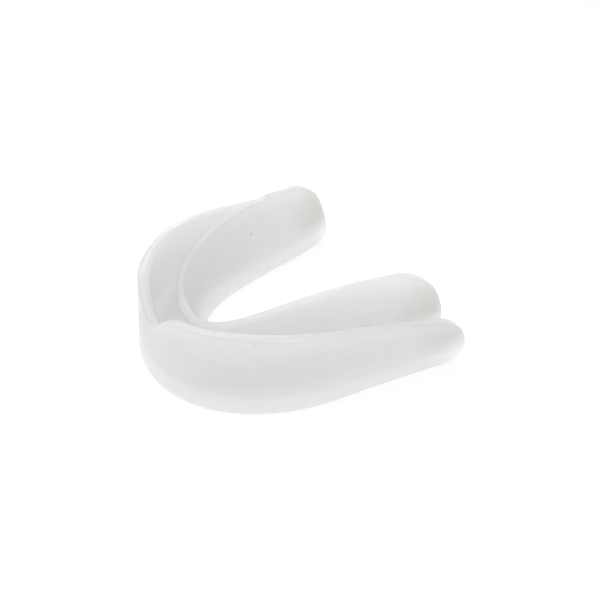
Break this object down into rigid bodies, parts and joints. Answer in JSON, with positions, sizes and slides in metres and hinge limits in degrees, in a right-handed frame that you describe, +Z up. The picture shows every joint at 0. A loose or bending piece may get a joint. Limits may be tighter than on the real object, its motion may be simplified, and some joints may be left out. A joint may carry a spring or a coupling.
{
  "type": "mouthguard",
  "caption": "Upper-jaw mouthguard moulded in one piece from milky clear EVA: a U-shaped channel with an outer wall, a bite plate and an inner wall, notched at the front.",
  "frame": {"origin": "centre of the footprint, on the flat underside of the bite plate", "axes": "+X across the mouth, the front teeth towards -Y and the arm ends towards +Y, +Z up into the upper jaw"},
  "size_m": [0.061, 0.056, 0.0189],
  "materials": {
    "eva_clear": "milky translucent EVA, satin moulded surface"
  },
  "bodies": {
    "root": {"mouthguard": "eva_clear"}
  },
  "joints": []
}
